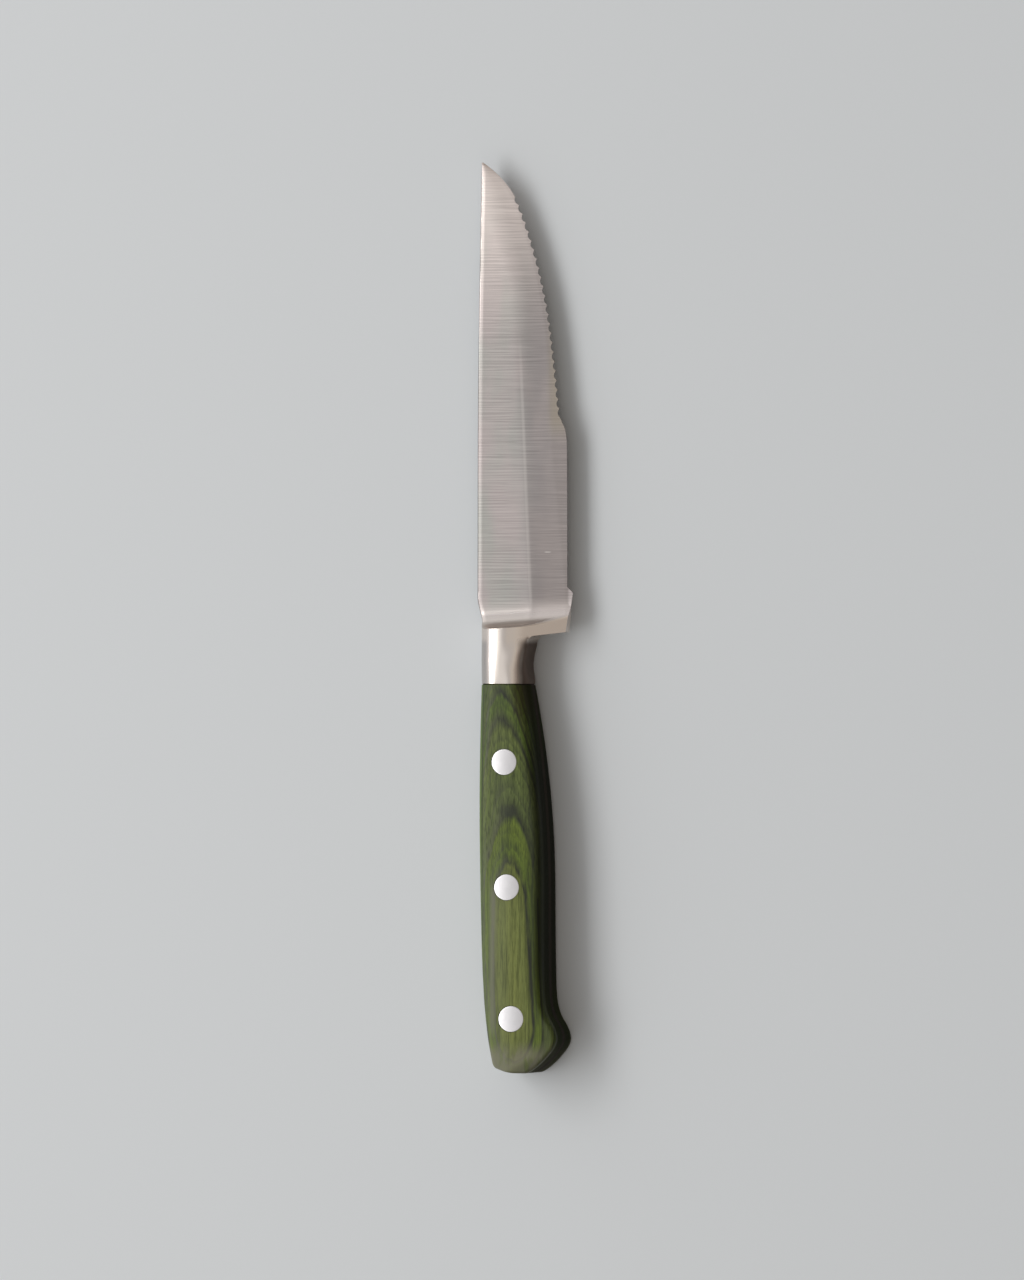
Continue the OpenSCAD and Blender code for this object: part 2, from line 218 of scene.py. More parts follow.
SPINE_CURVE = smooth(
    [
        [SPINE_DROP, TIP_Y],
        [0, TIP_Y - 0.38 * BLADE_LENGTH],
        [0, TIP_Y - 0.9 * BLADE_LENGTH],
        [0, COVE_Y],
        [NECK_INSET + SPINE_EASE, BLADE_ROOT_Y],
    ]
)

HANDLE_CURVE = smooth(
    [[NECK_INSET, HANDLE_LENGTH], [NECK_INSET, 0.73 * HANDLE_LENGTH]]
    + spots(
        (BACK_INSET, 0),
        (HANDLE_WIDTH, HANDLE_WIDTH),
        *((0, 2.6), (0.04, 1.27), (0.13, 0.565), (0.2, 0.24), (0.233, 0.095)),
        *((0.315, 0.055), (0.48, 0), (0.67, 0), (0.79, 0), (1.03, 0.195)),
    )
    + spots((BACK_INSET, 0), (BUTT_WIDTH, HOOK_HEIGHT), (1.015, 0.82), (0.99, 1.2))
    + spots((BACK_INSET, 0), (HANDLE_WIDTH, HANDLE_WIDTH), (1.045, 0.905), (1, 1.31))
    + [
        [BACK_INSET + HANDLE_WIDTH, HANDLE_LENGTH - FLARE_LENGTH / 2],
        [NECK_SIDE_X, HANDLE_LENGTH],
    ]
)
BUTT_CENTRE = np.array([BACK_INSET + 0.55 * HANDLE_WIDTH, 0.57 * HANDLE_WIDTH])


def face_z(y):
    """Half the thickness of the handle and the neck."""
    return NECK_THICKNESS / 2 + FACE_SLOPE * (HANDLE_LENGTH - y)


def laid_down(points):
    """Points of the knife in the row frame, in metres: it lies on the face of its lower scale."""
    x, y, z = np.array(points, float).T
    turn_cos = math.cos(FACE_ANGLE)
    turn_sin = math.sin(FACE_ANGLE)
    placed = [
        x - HEEL_X / 2,
        y * turn_cos + z * turn_sin - TIP_Y * turn_cos / 2,
        z * turn_cos - y * turn_sin + face_z(0) * turn_cos,
    ]
    return np.stack(placed, axis=-1) * MM


def mesh_object(name, points, faces, sharp_degrees=SHARP_DEGREES):
    """An object from points in millimetres of the knife, smooth but for its sharp edges."""
    mesh = bpy.data.meshes.new(name)
    mesh.from_pydata(laid_down(points).tolist(), [], faces)
    shape = bmesh.new()
    shape.from_mesh(mesh)
    bmesh.ops.recalc_face_normals(shape, faces=shape.faces)
    shape.to_mesh(mesh)
    shape.free()
    mesh.shade_smooth()
    mesh.set_sharp_from_angle(angle=math.radians(sharp_degrees))
    made = bpy.data.objects.new(name, mesh)
    bpy.context.scene.collection.objects.link(made)
    return made


def stacked(rings):
    """Points and faces of a closed solid through rings that all have the same number of points."""
    rings = np.array(rings, float)
    levels, count = rings.shape[:2]
    faces = [
        [
            i * count + j,
            i * count + (j + 1) % count,
            (i + 1) * count + (j + 1) % count,
            (i + 1) * count + j,
        ]
        for i in range(levels - 1)
        for j in range(count)
    ]
    faces.append(list(range(count)))
    faces.append([(levels - 1) * count + j for j in range(count)])
    return rings.reshape(-1, 3), faces


def lathed(profile, centre, slope_from=None):
    """Points and faces of a turned solid from (radius, z) pairs. Above slope_from, where it is
    given, the solid leans with the outer face of the scale."""
    turns = np.arange(LATHE_STEPS) * 2 * math.pi / LATHE_STEPS
    least_radius = 0.001
    rings = []
    for radius, z in profile:
        radius = max(radius, least_radius)
        ys = centre[1] + radius * np.sin(turns)
        leans = slope_from is not None and abs(z) >= slope_from
        lean = -FACE_SLOPE * (ys - centre[1]) * np.sign(z) if leans else 0 * ys
        rings.append(np.stack([centre[0] + radius * np.cos(turns), ys, z + lean], axis=-1))
    return stacked(rings)


def cut(body, cutters):
    """Cuts holes into a mesh object and removes the cutters."""
    for cutter in cutters:
        modifier = body.modifiers.new(cutter.name, "BOOLEAN")
        modifier.operation = "DIFFERENCE"
        modifier.solver = "EXACT"
        modifier.object = cutter
    graph = bpy.context.evaluated_depsgraph_get()
    mesh = bpy.data.meshes.new_from_object(body.evaluated_get(graph))
    body.modifiers.clear()
    body.data = mesh
    for cutter in cutters:
        bpy.data.objects.remove(cutter)
    mesh.shade_smooth()
    mesh.set_sharp_from_angle(angle=math.radians(SHARP_DEGREES))


def neck_bevel(y):
    """How far the end of the neck is drawn in at the joint with the scales."""
    return np.clip(NECK_EASE - (y - HANDLE_LENGTH), 0, None)


def neck_side(y):
    """Belly side of the neck, drawn in between the scales and the heel."""
    span = HEEL_Y - HEEL_FILLET - HANDLE_LENGTH
    share = np.clip((y - HANDLE_LENGTH) / span, 0, 1)
    return NECK_SIDE_X - NECK_WAIST * np.sin(math.pi * share) ** 2


def neck_height(x, y):
    """Height of the neck's surface: the section of the scales, which soon grows rounder."""
    top = face_z(y) - neck_bevel(y)
    back = np.minimum(NECK_INSET, across(SPINE_CURVE, np.maximum(y, BLADE_ROOT_Y)))
    low_x = back + neck_bevel(y)
    high_x = neck_side(y) - neck_bevel(y)
    half = (high_x - low_x) / 2
    middle = (low_x + high_x) / 2
    offset = np.abs(x - middle)
    share = np.clip(offset / half, 0, 1)
    wall = top - NECK_ROUNDING
    roundness = np.where(x > middle, NECK_ROUNDNESS[1], NECK_ROUNDNESS[0])
    oval = wall + NECK_ROUNDING * (1 - share**roundness) ** (1 / roundness)
    depth = np.clip(NECK_ROUNDING - half * (1 - share), 0, NECK_ROUNDING)
    filleted = wall + np.sqrt(NECK_ROUNDING**2 - depth**2)
    change = 6
    oval_share = np.clip((y - HANDLE_LENGTH) / change, 0, 1)
    fall = 4
    outside = np.clip(offset - half, 0, None) * fall
    return filleted + (oval - filleted) * oval_share - outside


def heel_height(x, y):
    """Height of the heel: level with the neck's top, then a facet that thins towards the edge."""
    thinning = (HEEL_EDGE_HALF - HEEL_ROOT_HALF) / (HEEL_X - NECK_SIDE_X)
    facet = HEEL_ROOT_HALF + thinning * (x - NECK_SIDE_X)
    return soft_min(face_z(y), facet, HEEL_BLEND)


def forging_height(x, y):
    """Height of the neck, whose belly side runs into the heel's facet over a short length."""
    neck = neck_height(x, y)
    lower_y = HEEL_Y + HEEL_RISE * (x - NECK_SIDE_X) / (BLADE_WIDTH - NECK_SIDE_X)
    along_share = np.clip(1 - (lower_y - y) / HEEL_RUN_OUT, 0, 1)
    onset = 2
    across_share = np.clip((x - NECK_MIDDLE_X) / onset, 0, 1)
    return neck + (heel_height(x, y) - neck) * smoothstep(along_share) * across_share


def cove_height(x, y):
    """Height of the cove's hollow between the faces of the blade and the neck."""
    line_y = COVE_Y + COVE_SLANT * x / HEEL_X
    floor = blade_height(x, y) - COVE_SINK
    depth = np.clip(line_y - y, 0, COVE_RADIUS)
    beyond = np.clip(line_y - y - COVE_RADIUS, 0, None)
    rise = COVE_RADIUS - np.sqrt(COVE_RADIUS**2 - depth**2)
    return floor + rise + COVE_STEEPNESS * beyond


def honed_width(y):
    """Width of the last bevel along the cutting edge."""
    return np.interp(y, HONED_YS, HONED_WIDTHS)


def grind_x(y):
    """Place across the blade where its bevel begins: a line that turns in towards the tip."""
    low_x = across(SPINE_CURVE, y)
    width = across(EDGE_CURVE, y) - low_x
    line = np.interp(y, GRIND_YS, GRIND_XS)
    tip_share = np.interp(y, [GRIND_YS[2], TIP_Y], GRIND_TIP_SHARES)
    return np.minimum(line, low_x + tip_share * width)


def blade_height(x, y):
    """Height of the blade's face: flat from the eased spine to the grind line, then two bevels."""
    low_x = across(SPINE_CURVE, y)
    edge_x = across(EDGE_CURVE, y)
    width = edge_x - low_x
    spine = TIP_HALF + (SPINE_HALF - TIP_HALF) * (TIP_Y - y) / BLADE_LENGTH
    bevel_x = grind_x(y)
    honed = np.minimum(honed_width(y), HONED_SHARE * width)
    bevel_width = edge_x - bevel_x
    shoulder = 1.3
    honed_z = EDGE_HALF + (spine - EDGE_HALF) * shoulder * honed / bevel_width
    main = spine - (spine - honed_z) * (x - bevel_x) / (bevel_width - honed)
    last = EDGE_HALF + (honed_z - EDGE_HALF) * (edge_x - x) / honed
    ease = np.minimum(SPINE_EASE, width / 4)
    eased = spine - ease + np.clip(x - low_x, 0, ease)
    worn = spine - SPINE_WEAR * np.clip(1 - (x - low_x) / SPINE_WEAR_WIDTH, 0, 1)
    ridge = np.interp(y, RIDGE_YS, RIDGE_WIDTHS)
    ground = soft_min(np.minimum(worn, eased), main, ridge)
    return np.minimum(ground, last)


def height(x, y):
    """Height of the forged steel above its middle plane."""
    cove_ridge = 0.4
    crease = 0.1
    least = 0.12
    forging = soft_min(forging_height(x, y), cove_height(x, y), cove_ridge)
    return np.maximum(soft_max(blade_height(x, y), forging, crease), least)


def blade_rows():
    """Rows across the forged steel, from the end of the neck to the tip. Each has its left end,
    its right ends on the upper and the lower face, the way it comes in to them and its reach."""
    rows = []

    def add(rights, left_ys, inwards, reaches, lowers=None):
        lowers = rights if lowers is None else lowers
        neck_back = NECK_INSET + neck_bevel(left_ys)
        spine = across(SPINE_CURVE, np.clip(left_ys, BLADE_ROOT_Y, None))
        back = np.where(left_ys < BLADE_ROOT_Y, neck_back, np.minimum(spine, neck_back))
        lefts = np.stack([back, left_ys], axis=-1)
        rows.extend(zip(lefts, rights, lowers, inwards, reaches))

    def evenly(first, last, count):
        return np.linspace(first, last, count, endpoint=False)

    west = np.array([-1.0, 0.0])
    root_y = HEEL_Y - HEEL_FILLET
    ease_end_y = HANDLE_LENGTH + NECK_EASE
    ease_ys = evenly(HANDLE_LENGTH, ease_end_y, EASE_ROWS)
    neck_ys = np.concatenate([ease_ys, evenly(ease_end_y, root_y, NECK_ROWS)])
    sides = np.stack([neck_side(neck_ys) - neck_bevel(neck_ys), neck_ys], axis=-1)
    bend_y = HANDLE_LENGTH + NECK_ROUNDING
    left_ys = np.interp(
        neck_ys, [HANDLE_LENGTH, bend_y, root_y], [HANDLE_LENGTH, bend_y, NECK_START]
    )
    add(sides, left_ys, [west] * len(neck_ys), [NECK_REACH] * len(neck_ys))

    rise_angle = math.atan(HEEL_RISE / (BLADE_WIDTH - NECK_SIDE_X - HEEL_FILLET))
    end_angle = math.pi / 2 + rise_angle
    angles = evenly(math.pi, end_angle, FILLET_ROWS)
    outwards = np.stack([np.cos(angles), np.sin(angles)], axis=-1)
    fillet_centre = np.array([NECK_SIDE_X + HEEL_FILLET, root_y])
    add(
        fillet_centre + HEEL_FILLET * outwards,
        evenly(NECK_START, FILLET_START, FILLET_ROWS),
        outwards,
        evenly(NECK_REACH, FILLET_REACH, FILLET_ROWS),
    )

    low_corner = np.array([BLADE_WIDTH, HEEL_Y + HEEL_RISE])
    high_corner = np.array([HEEL_X, HEEL_TOP_Y - HEEL_LIP])
    fillet_end = fillet_centre + HEEL_FILLET * np.array([math.cos(end_angle), math.sin(end_angle)])
    north = np.array([-math.sin(rise_angle), math.cos(rise_angle)])
    side = units(high_corner - low_corner)
    in_from_side = np.array([-side[1], side[0]])
    diagonal = (north + in_from_side) / 2
    shares = evenly(0, 1, HEEL_ROWS)[:, None]
    mixed = north + (diagonal - north) * np.clip(shares * 2 - 1, 0, 1)
    add(
        fillet_end + (low_corner - fillet_end) * shares,
        evenly(FILLET_START, LOWER_START, HEEL_ROWS),
        units(mixed),
        evenly(FILLET_REACH, LOWER_REACH, HEEL_ROWS),
    )

    turn_pace = 1.2
    mixed = diagonal + (west - diagonal) * np.clip(shares * turn_pace, 0, 1)
    add(
        low_corner + (high_corner - low_corner) * shares,
        evenly(LOWER_START, OUTER_START, HEEL_ROWS),
        units(mixed),
        evenly(LOWER_REACH, OUTER_REACH, HEEL_ROWS),
    )
    lip_end = np.array([BLADE_WIDTH, HEEL_TOP_Y])
    lip = high_corner + (lip_end - high_corner) * evenly(0, 1, LIP_ROWS)[:, None]
    lip_left_ys = evenly(OUTER_START, HEEL_TOP_Y, LIP_ROWS)
    add(lip, lip_left_ys, [west] * LIP_ROWS, [OUTER_REACH] * LIP_ROWS)

    def end_of(teeth):
        return along(EDGE_CURVE, np.array([SERRATION_START + teeth * TOOTH_PITCH]))[0][0, 1]

    teeth = 0
    while end_of(teeth + 1) > SERRATION_END_Y:
        teeth += 1
    plain_ys = evenly(HEEL_TOP_Y, end_of(teeth), PLAIN_ROWS)
    plain = np.stack([across(EDGE_CURVE, plain_ys), plain_ys], axis=-1)
    add(plain, plain_ys, [west] * PLAIN_ROWS, plain[:, 0] / 3)

    flat_share = TOOTH_FLAT / TOOTH_PITCH
    hollows = np.concatenate([[0, 0], np.arange(1, TOOTH_STEPS) / TOOTH_STEPS])
    shares = flat_share + (1 - flat_share) * hollows
    shares[0] = 0
    for tooth in reversed(range(teeth)):
        distances = SERRATION_START + (tooth + shares[::-1]) * TOOTH_PITCH
        places, directions = along(EDGE_CURVE, distances)
        outward = np.stack([-directions[:, 1], directions[:, 0]], axis=-1)
        bite = (4 * hollows * (1 - hollows))[::-1][:, None]
        uppers = places - bite * SCALLOP_DEPTH * outward
        lowers = places - bite * SCALLOP_REACH * outward
        widths = places[:, 0] - across(SPINE_CURVE, places[:, 1])
        add(uppers, places[:, 1], [west] * len(places), widths / 3, lowers)

    places, _ = along(EDGE_CURVE, np.linspace(SERRATION_START, 0, TIP_ROWS)[1:])
    widths = places[:, 0] - across(SPINE_CURVE, places[:, 1])
    add(places, places[:, 1], [west] * len(places), widths / 3)
    return rows


def forged_blade():
    """Blade, cove, heel and neck in one skin over rows that run across the knife."""
    shares = (1 - np.cos(np.linspace(0, math.pi, ROW_COLUMNS))) / 2
    shares[np.argmin(np.abs(shares - GRIND_SHARE))] = GRIND_SHARE
    downs = np.linspace(0, 1, WALL_STEPS + 1)[1:-1, None]
    rings = []
    for left, upper, lower, inward, reach in blade_rows():
        faces = []
        row_y = max(upper[1], GRIND_YS[0])
        width = across(EDGE_CURVE, row_y) - left[0]
        bevel_share = (grind_x(row_y) - left[0]) / width
        t = np.interp(shares, [0, GRIND_SHARE, 1], [0, bevel_share, 1])[:, None]
        for right in (upper, lower):
            leave = left + np.array([(right[0] - left[0]) / 3, 0])
            arrive = right + np.array(inward) * reach
            line = (
                (1 - t) ** 3 * left
                + 3 * (1 - t) ** 2 * t * leave
                + 3 * (1 - t) * t**2 * arrive
                + t**3 * right
            )
            faces.append(np.column_stack([line, height(line[:, 0], line[:, 1])]))
        top = faces[0]
        bottom = (faces[1] * [1, 1, -1])[::-1]
        right_wall = top[-1] + (bottom[0] - top[-1]) * downs
        left_wall = bottom[-1] + (top[0] - bottom[-1]) * downs
        rings.append(np.concatenate([top, right_wall, bottom, left_wall]))
    return stacked(rings)


def drawn_in(points, distance):
    """The handle's outline drawn in by a distance."""
    centres = np.stack(
        [np.full(len(points), BUTT_CENTRE[0]), np.maximum(points[:, 1], BUTT_CENTRE[1])], axis=-1
    )
    return points + units(centres - points) * np.reshape(distance, (-1, 1))


def rounding(y):
    """Radius of the outer edges of the handle, wide at the neck and narrow round the butt."""
    front = 1 - np.clip((HANDLE_LENGTH - y) / ROUNDING_LENGTH, 0, 1)
    rear = 1 - np.clip(y / BUTT_ROUNDING_LENGTH, 0, 1)
    narrower = (HANDLE_ROUNDING - BUTT_ROUNDING) * smoothstep(rear)
    return HANDLE_ROUNDING + (NECK_ROUNDING - HANDLE_ROUNDING) * front**2 - narrower


def outline_ring(inset, z):
    """The handle's outline at a height, drawn in all round."""
    flat = drawn_in(HANDLE_CURVE, np.full(len(HANDLE_CURVE), inset))
    return np.column_stack([flat, np.full(len(flat), z)])


def scale_solid(side):
    """Points and faces of one scale, on the upper side (1) or the lower side (-1)."""
    crack = 0.07
    wall_low = TANG_HALF + crack
    rings = [outline_ring(crack, TANG_HALF), outline_ring(0, wall_low)]
    radius = rounding(HANDLE_CURVE[:, 1])
    wall_top = face_z(HANDLE_CURVE[:, 1]) - radius
    for share in (0.33, 0.67):
        rings.append(np.column_stack([HANDLE_CURVE, wall_low + (wall_top - wall_low) * share]))
    for angle in np.linspace(0, math.pi / 2, ROUNDING_STEPS + 1):
        flat = drawn_in(HANDLE_CURVE, radius * (1 - math.cos(angle)))
        z = face_z(flat[:, 1]) - radius * (1 - math.sin(angle))
        rings.append(np.column_stack([flat, z]))
    return stacked(np.array(rings) * [1, 1, side])


def rivet_centre(which):
    """Where a rivet stands, across and along the knife."""
    return np.array([BACK_INSET + RIVET_ACROSS[which] * HANDLE_WIDTH, RIVET_YS[which]])


def hole_cutter(which, side):
    """A stepped cutter for a rivet's head and shank in one scale."""
    seat_z = face_z(RIVET_YS[which]) - HEAD_THICKNESS
    start_z = 0.5
    profile = [
        (0, start_z),
        (SLEEVE_RADIUS + HEAD_PLAY, start_z),
        (SLEEVE_RADIUS + HEAD_PLAY, seat_z),
        (HEAD_RADIUS + HEAD_PLAY, seat_z),
        (HEAD_RADIUS + HEAD_PLAY, seat_z + 2 * HEAD_THICKNESS),
        (0, seat_z + 2 * HEAD_THICKNESS),
    ]
    profile = [(radius, z * side) for radius, z in profile]
    return mesh_object(f"cutter_{which}", *lathed(profile, rivet_centre(which)))


def rivet_solid(which, side, hollow):
    """Points and faces of one half of a rivet: a slightly crowned head and a shank."""
    top_z = face_z(RIVET_YS[which])
    seat_z = top_z - HEAD_THICKNESS
    crown = 0.11
    sunk = 0.11
    rim = 0.12
    step = 0.01
    flat_start = 0.1
    rim_radius = HEAD_RADIUS - rim
    if hollow:
        bore = PIN_RADIUS + SHANK_PLAY
        profile = [
            (0, seat_z),
            (bore, seat_z),
            (bore, SHANK_END_GAP - seat_z),
            (SLEEVE_RADIUS, SHANK_END_GAP - seat_z),
            (SLEEVE_RADIUS, seat_z - step),
        ]
    else:
        profile = [
            (0, SHANK_END_GAP - seat_z),
            (PIN_RADIUS, SHANK_END_GAP - seat_z),
            (PIN_RADIUS, seat_z - step),
        ]
    profile += [(HEAD_RADIUS, seat_z), (HEAD_RADIUS, top_z - sunk - rim)]
    for angle in np.linspace(0, math.pi / 2, 6)[1:]:
        profile.append(
            (rim_radius + rim * math.cos(angle), top_z - sunk - rim * (1 - math.sin(angle)))
        )
    for share in np.linspace(1, 0, 12)[1:]:
        profile.append((rim_radius * share, top_z - sunk + crown * (1 - share**2)))
    profile = [(radius, z * side) for radius, z in profile]
    return lathed(profile, rivet_centre(which), slope_from=seat_z + flat_start)


def srgb(red, green, blue):
    """A colour given as 0 to 255 of a picture, as linear values with alpha."""
    shares = [value / 255 for value in (red, green, blue)]
    linear = [s / 12.92 if s <= 0.04045 else ((s + 0.055) / 1.055) ** 2.4 for s in shares]
    return (*linear, 1.0)


def grey(value):
    """A linear grey with alpha, as a ramp holds a plain number."""
    return (value, value, value, 1.0)


WHITE = grey(1.0)


class Nodes:
    """Adds shader nodes to a tree. All calls but node and feed return what comes out of them."""

    def __init__(self, owner):
        owner.use_nodes = True
        self.owner = owner
        self.tree = owner.node_tree

    def node(self, kind, settings=None, **inputs):
        made = self.tree.nodes.new(kind)
        for name, value in (settings or {}).items():
            setattr(made, name, value)
        for name, value in inputs.items():
            self.feed(value, made.inputs[name.replace("_", " ")])
        return made

    def feed(self, value, socket):
        if isinstance(value, bpy.types.NodeSocket):
            self.tree.links.new(value, socket)
        else:
            socket.default_value = value

    def places(self, kind):
        """X, Y and Z of one kind of coordinates."""
        coordinates = self.node("ShaderNodeTexCoord").outputs[kind]
        return self.node("ShaderNodeSeparateXYZ", Vector=coordinates).outputs

    def calc(self, operation, *values):
        made = self.node("ShaderNodeMath", {"operation": operation})
        for value, socket in zip(values, made.inputs):
            self.feed(value, socket)
        return made.outputs[0]

    def plus(self, first, second):
        return self.calc("ADD", first, second)

    def minus(self, first, second):
        return self.calc("SUBTRACT", first, second)

    def times(self, first, *others):
        for other in others:
            first = self.calc("MULTIPLY", first, other)
        return first

    def line(self, value, slope, start):
        """A value times a slope, plus a start."""
        return self.calc("MULTIPLY_ADD", value, slope, start)

    def under(self, value, most):
        """How far a value is under the most, or nothing."""
        return self.calc("MAXIMUM", self.minus(most, value), 0.0)

    def off(self, value, centre):
        """How far a value is from a centre, to either side."""
        return self.calc("ABSOLUTE", self.minus(value, centre))

    def spread(self, value, low, high):
        """A value's even share of the way from low to high."""
        made = self.node("ShaderNodeMapRange", Value=value, From_Min=low, From_Max=high)
        return made.outputs["Result"]

    def step(self, value, low, high, to_low=0.0, to_high=1.0):
        made = self.node(
            "ShaderNodeMapRange",
            {"interpolation_type": "SMOOTHSTEP"},
            Value=value,
            From_Min=low,
            From_Max=high,
            To_Min=to_low,
            To_Max=to_high,
        )
        return made.outputs["Result"]

    def rising(self, value, low, high, most=1.0):
        return self.step(value, low, high, 0.0, most)

    def falling(self, value, low, high, most=1.0):
        return self.step(value, low, high, most, 0.0)

    def ramp(self, factor, stops, interpolation="LINEAR"):
        made = self.node("ShaderNodeValToRGB", Fac=factor)
        made.color_ramp.interpolation = interpolation
        elements = made.color_ramp.elements
        while len(elements) < len(stops):
            elements.new(0.5)
        for element, (place, colour) in zip(elements, stops):
            element.position = place
            element.color = colour
        return made.outputs["Color"]

    def mix(self, factor, first, second, blend="MIX"):
        made = self.node("ShaderNodeMix", {"data_type": "RGBA", "blend_type": blend})
        # The sockets for colours; the ones between them are for numbers and vectors
        for value, index in ((factor, 0), (first, 6), (second, 7)):
            self.feed(value, made.inputs[index])
        return made.outputs[2]

    def shaded(self, colour, shade, share=1.0):
        """A colour darkened by a shade, as far as the share says."""
        return self.mix(share, colour, shade, "MULTIPLY")

    def surface(self, **inputs):
        """The material, with its shader fed. What is the same all over stays a plain number."""
        shader = self.tree.nodes["Principled BSDF"]
        for name, value in inputs.items():
            self.feed(value, shader.inputs[name.replace("_", " ")])
        return self.owner


class Finish(Nodes):
    """A procedural material. Its x, y and z are places on the knife in millimetres, z counted from
    the middle plane to either side."""

    def __init__(self, name):
        super().__init__(bpy.data.materials.new(name))
        place = self.places("Object")
        self.x = self.line(place["X"], 1 / MM, HEEL_X / 2)
        self.y = self.line(place["Y"], 1 / MM, TIP_Y * math.cos(FACE_ANGLE) / 2)
        level = self.line(place["Z"], 1 / MM, -face_z(0))
        self.z = self.calc("ABSOLUTE", self.line(self.y, FACE_SLOPE, level))

    def noise(self, waves, detail=2.0, roughness=0.5):
        """Noise over the knife, with its number of waves in a millimetre along x, y and z."""
        x, y, z = [self.times(v, count) for v, count in zip((self.x, self.y, self.z), waves)]
        made = self.node(
            "ShaderNodeTexNoise",
            Vector=self.node("ShaderNodeCombineXYZ", X=x, Y=y, Z=z).outputs[0],
            Scale=1.0,
            Detail=detail,
            Roughness=roughness,
        )
        return made.outputs["Fac"]

    def bump(self, height_socket, distance, strength):
        made = self.node(
            "ShaderNodeBump", Height=height_socket, Distance=distance * MM, Strength=strength
        )
        return made.outputs["Normal"]


# Tones of the steel. The surroundings are dark on the belly side, and the tones of the neck's side
# and of the tang carry a part of that darkness as painted shade
BRUSH_PITCH = 0.74
SCRATCH_AT = (18.5, 131.5)
BRUSHED_ROUGHNESS = 0.3
POLISHED_ROUGHNESS = 0.25
STEEL = {
    "by the spine": srgb(171, 170, 165),
    "middle": srgb(170, 163, 162),
    "by the edge": srgb(188, 180, 178),
    "clouds": srgb(180, 171, 169),
    "tip": srgb(232, 220, 214),
    "faint streak": srgb(231, 231, 231),
    "grind line highlight": srgb(222, 216, 211),
    "scratch": srgb(250, 246, 242),
    "by the teeth": srgb(178, 168, 150),
    "neck": srgb(232, 222, 214),
    "back of the neck": srgb(184, 180, 178),
    "side of the neck": srgb(100, 87, 79),
    "shaded back of the cove": srgb(220, 211, 206),
    "cove": srgb(254, 243, 238),
    "crease": srgb(116, 94, 76),
    "tang": srgb(64, 60, 54),
}


def crease_shade(steel):
    """Where the cove rises steeply to the neck, and its crease gets painted shade."""
    cove_start = steel.line(steel.x, COVE_SLANT / HEEL_X, COVE_Y)
    below = steel.minus(cove_start, steel.y)
    depth = steel.calc("MINIMUM", steel.calc("MAXIMUM", below, 0.0), COVE_RADIUS)
    left = steel.line(steel.times(depth, depth), -1.0, COVE_RADIUS**2)
    fall = steel.calc("SQRT", steel.calc("MAXIMUM", left, 0.0))
    floor_slope = (COVE_FLOORS[1] - COVE_FLOORS[0]) / HEEL_X
    floor = steel.line(steel.x, floor_slope, COVE_FLOORS[0] + COVE_RADIUS)
    beyond = steel.calc("MAXIMUM", steel.minus(below, COVE_RADIUS), 0.0)
    cove_z = steel.line(beyond, COVE_STEEPNESS, steel.minus(floor, fall))
    on_cove = steel.falling(steel.minus(cove_z, steel.z), 0.2, 1.0)
    steep = steel.rising(depth, 3.5, 5.4)
    return steel.times(on_cove, steep, steel.step(steel.x, 12, 24, 0.36, 0.12))


def brushed_tone(steel, lines):
    """Colour of the brushed faces, with a painted highlight on the grind line, a short scratch and
    a warmer tone by the teeth.
    """
    cloud = steel.noise((0.11, 0.04, 0.1))
    tone = steel.mix(steel.rising(steel.x, 5, 17), STEEL["by the spine"], STEEL["middle"])
    tone = steel.mix(steel.rising(steel.x, 18.5, 22, 0.6), tone, STEEL["by the edge"])
    tone = steel.mix(steel.rising(cloud, 0.35, 0.65), tone, STEEL["clouds"])
    tone = steel.mix(steel.rising(steel.y, 178, 236), tone, STEEL["tip"])
    tone = steel.shaded(tone, steel.ramp(lines, [(0.3, STEEL["faint streak"]), (0.7, WHITE)]))
    slope = (GRIND_XS[1] - GRIND_XS[0]) / (GRIND_YS[1] - GRIND_YS[0])
    grind_line_x = steel.line(steel.y, slope, GRIND_XS[0] - GRIND_YS[0] * slope)
    # Painted highlight along the grind line
    on_grind_highlight = steel.times(
        steel.falling(steel.off(steel.x, grind_line_x), 0.1, 0.6, 0.22),
        steel.falling(steel.y, 170, 190),
    )
    tone = steel.mix(on_grind_highlight, tone, STEEL["grind line highlight"])
    on_scratch = steel.times(
        steel.falling(steel.off(steel.x, SCRATCH_AT[0]), 0.3, 1.1, 0.6),
        steel.falling(steel.off(steel.y, SCRATCH_AT[1]), 0.05, 0.16),
    )
    tone = steel.mix(on_scratch, tone, STEEL["scratch"])
    # A warmer tone by the teeth
    by_teeth = steel.times(steel.rising(steel.x, 17.5, 20.5, 0.6), steel.rising(steel.y, 158, 166))
    return steel.mix(by_teeth, tone, STEEL["by the teeth"])


